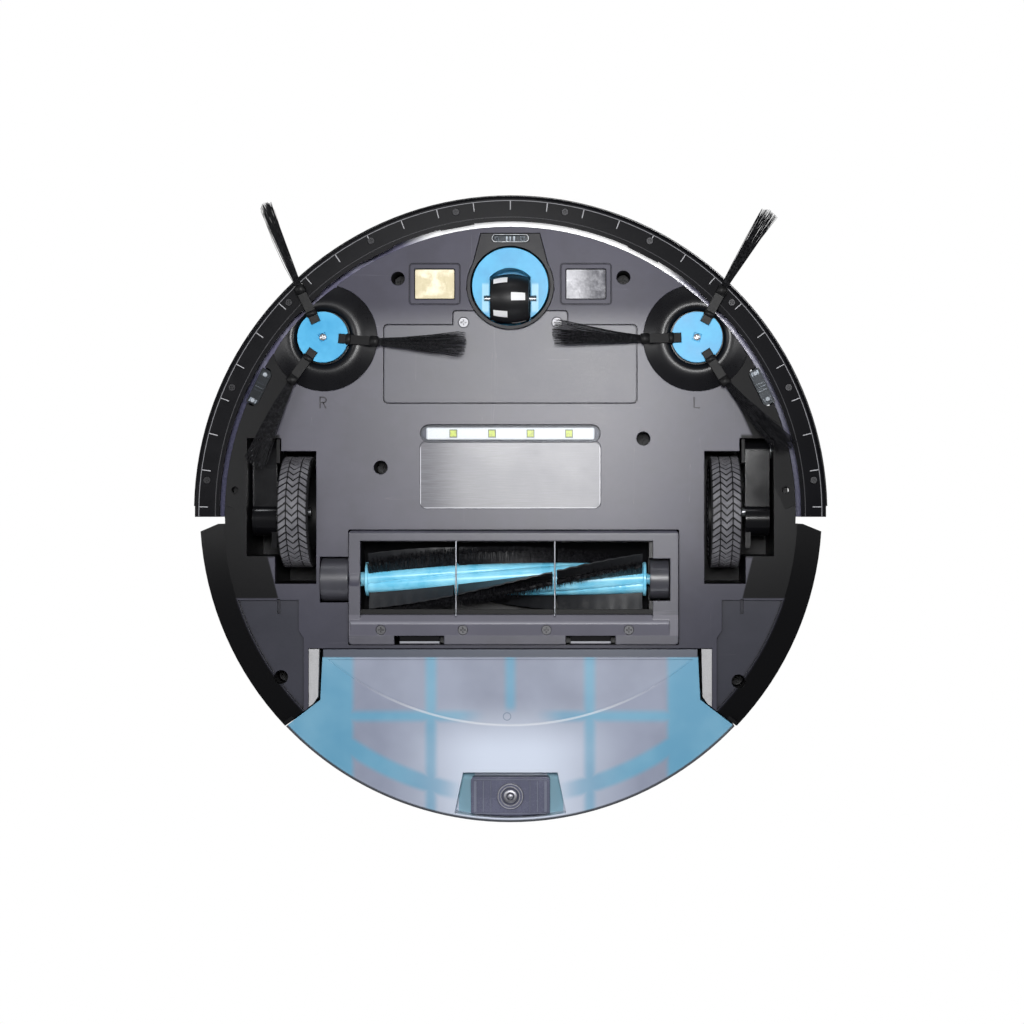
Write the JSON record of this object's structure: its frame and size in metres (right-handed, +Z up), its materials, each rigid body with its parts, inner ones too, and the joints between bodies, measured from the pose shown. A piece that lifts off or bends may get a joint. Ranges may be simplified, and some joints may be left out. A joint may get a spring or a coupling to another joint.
{
  "type": "robot vacuum",
  "caption": "Round robot vacuum with side brushes, a roller brush under a guard, sprung drive wheels, a caster, a sprung bumper and a rear dust bin.",
  "frame": {"origin": "on the floor, under the centre of the round body", "axes": "+Z up, -Y towards the bumper (front), +Y towards the dust bin, +X towards the robot's left side"},
  "size_m": [0.35, 0.3473, 0.0784],
  "materials": {
    "chassis_plastic": "fine moulded texture, purple-grey, darkening to black at the sloping rim",
    "cover_plastic": "polished black",
    "panel_plastic": "dark grey with a fine circular grain",
    "button_plastic": "satin silver paint",
    "black_plastic": "satin moulded black",
    "gloss_black": "glossy moulded black",
    "smoked_plastic": "smoked infra-red window",
    "wheel_plastic": "satin black",
    "tyre_rubber": "dark grey rubber with chevron tread",
    "blue_plastic": "satin sky blue",
    "frame_blue": "sky blue, seen through the frosted bin",
    "soft_rubber": "black soft rubber",
    "blade_rubber": "dark grey rubber",
    "bristle_nylon": "black nylon bristles",
    "steel": "plain steel",
    "motor_steel": "plated steel can",
    "contact_metal": "nickel over brass, worn pale gold",
    "label_foil": "blank brushed silver label",
    "lens_plastic": "clear moulded lens",
    "board_white": "white board with yellow-green chips",
    "board_green": "green solder mask",
    "battery_wrap": "blue shrink wrap",
    "frosted_plastic": "frosted translucent, faintly blue",
    "filter_media": "pleated grey filter",
    "pad_foam": "cream foam",
    "latch_plastic": "dark grey, moulded"
  },
  "bodies": {
    "chassis": {"bottom_chassis": "chassis_plastic", "top_cover": "cover_plastic", "top_panel": "panel_plastic", "battery_cover": "chassis_plastic", "battery_pack": "battery_wrap", "main_board": "board_green", "underside_screws": "steel", "rating_label": "label_foil", "light_lens": "lens_plastic", "light_board": "board_white", "charge_contacts": "contact_metal", "cliff_windows": "lens_plastic", "bin_seat_pads": "pad_foam", "side_brush_domes": "black_plastic", "side_brush_motors": "motor_steel", "brush_housing": "black_plastic", "brush_drive_box": "black_plastic", "brush_motor": "motor_steel", "brush_bearing": "black_plastic", "caster_socket": "black_plastic", "wheel_pivot_pins": "steel", "suspension_springs": "steel", "fan_housing": "black_plastic"},
    "bumper": {"bumper_shell": "black_plastic", "bumper_skin": "gloss_black", "bumper_window": "smoked_plastic", "bumper_screws": "steel", "bumper_springs": "steel"},
    "power_button": {"power_button": "button_plastic"},
    "suspension_left": {"wheel_arm_left": "gloss_black", "wheel_motor_left": "motor_steel"},
    "suspension_right": {"wheel_arm_right": "gloss_black", "wheel_motor_right": "motor_steel"},
    "drive_wheel_left": {"wheel_rim_left": "wheel_plastic", "wheel_tyre_left": "tyre_rubber"},
    "drive_wheel_right": {"wheel_rim_right": "wheel_plastic", "wheel_tyre_right": "tyre_rubber"},
    "side_brush_left": {"side_brush_hub_left": "blue_plastic", "side_brush_arms_left": "soft_rubber", "side_brush_bristles_left": "bristle_nylon"},
    "side_brush_right": {"side_brush_hub_right": "blue_plastic", "side_brush_arms_right": "soft_rubber", "side_brush_bristles_right": "bristle_nylon"},
    "main_brush": {"brush_core": "blue_plastic", "brush_bristles": "bristle_nylon", "brush_blades": "blade_rubber"},
    "brush_guard": {"guard_frame": "chassis_plastic", "guard_wires": "steel", "guard_scraper": "soft_rubber", "guard_screws": "steel"},
    "caster_fork": {"caster_swivel": "blue_plastic", "caster_axle": "steel"},
    "caster_roller": {"caster_wheel": "wheel_plastic"},
    "fan": {"fan_impeller": "blue_plastic"},
    "dust_bin": {"bin_shell": "frosted_plastic", "bin_frame": "frame_blue", "bin_filter": "filter_media", "bin_lid": "black_plastic", "bin_latch": "latch_plastic"},
    "bin_button": {"bin_latch_button": "black_plastic"}
  },
  "joints": [
    {"name": "bumper_press", "type": "slide", "parent": "chassis", "child": "bumper", "axis": [0, 1, 0], "range_m": [0, 0.0022], "stiffness_N_per_m": 400, "springref_m": -0.002},
    {"name": "power_button_press", "type": "slide", "parent": "chassis", "child": "power_button", "axis": [0, 0, -1], "range_m": [0, 0.001], "stiffness_N_per_m": 600, "springref_m": -0.001},
    {"name": "suspension_left", "type": "hinge", "parent": "chassis", "child": "suspension_left", "pos_m": [0.1365, -0.034, 0.03], "axis": [-1, 0, 0], "range_deg": [0, 17], "stiffness_Nm_per_rad": 0.12, "springref_deg": 34.38},
    {"name": "suspension_right", "type": "hinge", "parent": "chassis", "child": "suspension_right", "pos_m": [-0.1365, -0.034, 0.03], "axis": [-1, 0, 0], "range_deg": [0, 17], "stiffness_Nm_per_rad": 0.12, "springref_deg": 34.38},
    {"name": "wheel_spin_left", "type": "hinge", "parent": "suspension_left", "child": "drive_wheel_left", "pos_m": [0.1185, 0, 0.031], "axis": [1, 0, 0], "continuous": true},
    {"name": "wheel_spin_right", "type": "hinge", "parent": "suspension_right", "child": "drive_wheel_right", "pos_m": [-0.1185, 0, 0.031], "axis": [1, 0, 0], "continuous": true},
    {"name": "side_brush_spin_left", "type": "hinge", "parent": "chassis", "child": "side_brush_left", "pos_m": [0.1025, -0.0958, 0.0085], "axis": [0, 0, 1], "continuous": true},
    {"name": "side_brush_spin_right", "type": "hinge", "parent": "chassis", "child": "side_brush_right", "pos_m": [-0.1025, -0.0958, 0.0085], "axis": [0, 0, 1], "continuous": true},
    {"name": "main_brush_spin", "type": "hinge", "parent": "chassis", "child": "main_brush", "pos_m": [0, 0.0372, 0.022], "axis": [1, 0, 0], "continuous": true},
    {"name": "guard_open", "type": "hinge", "parent": "chassis", "child": "brush_guard", "pos_m": [0, 0.0121, 0.0125], "axis": [-1, 0, 0], "range_deg": [0, 70]},
    {"name": "caster_swivel", "type": "hinge", "parent": "chassis", "child": "caster_fork", "pos_m": [0, -0.1244, 0.02], "axis": [0, 0, 1], "continuous": true},
    {"name": "caster_roll", "type": "hinge", "parent": "caster_fork", "child": "caster_roller", "pos_m": [0, -0.1174, 0.0135], "axis": [1, 0, 0], "continuous": true},
    {"name": "fan_spin", "type": "hinge", "parent": "chassis", "child": "fan", "pos_m": [-0.13, 0.062, 0.03], "axis": [0, 0, 1], "continuous": true},
    {"name": "bin_slide", "type": "slide", "parent": "chassis", "child": "dust_bin", "axis": [0, 1, 0], "range_m": [0, 0.11]},
    {"name": "bin_button_press", "type": "slide", "parent": "dust_bin", "child": "bin_button", "axis": [0, -1, 0], "range_m": [0, 0.0025], "stiffness_N_per_m": 500, "springref_m": -0.001}
  ]
}
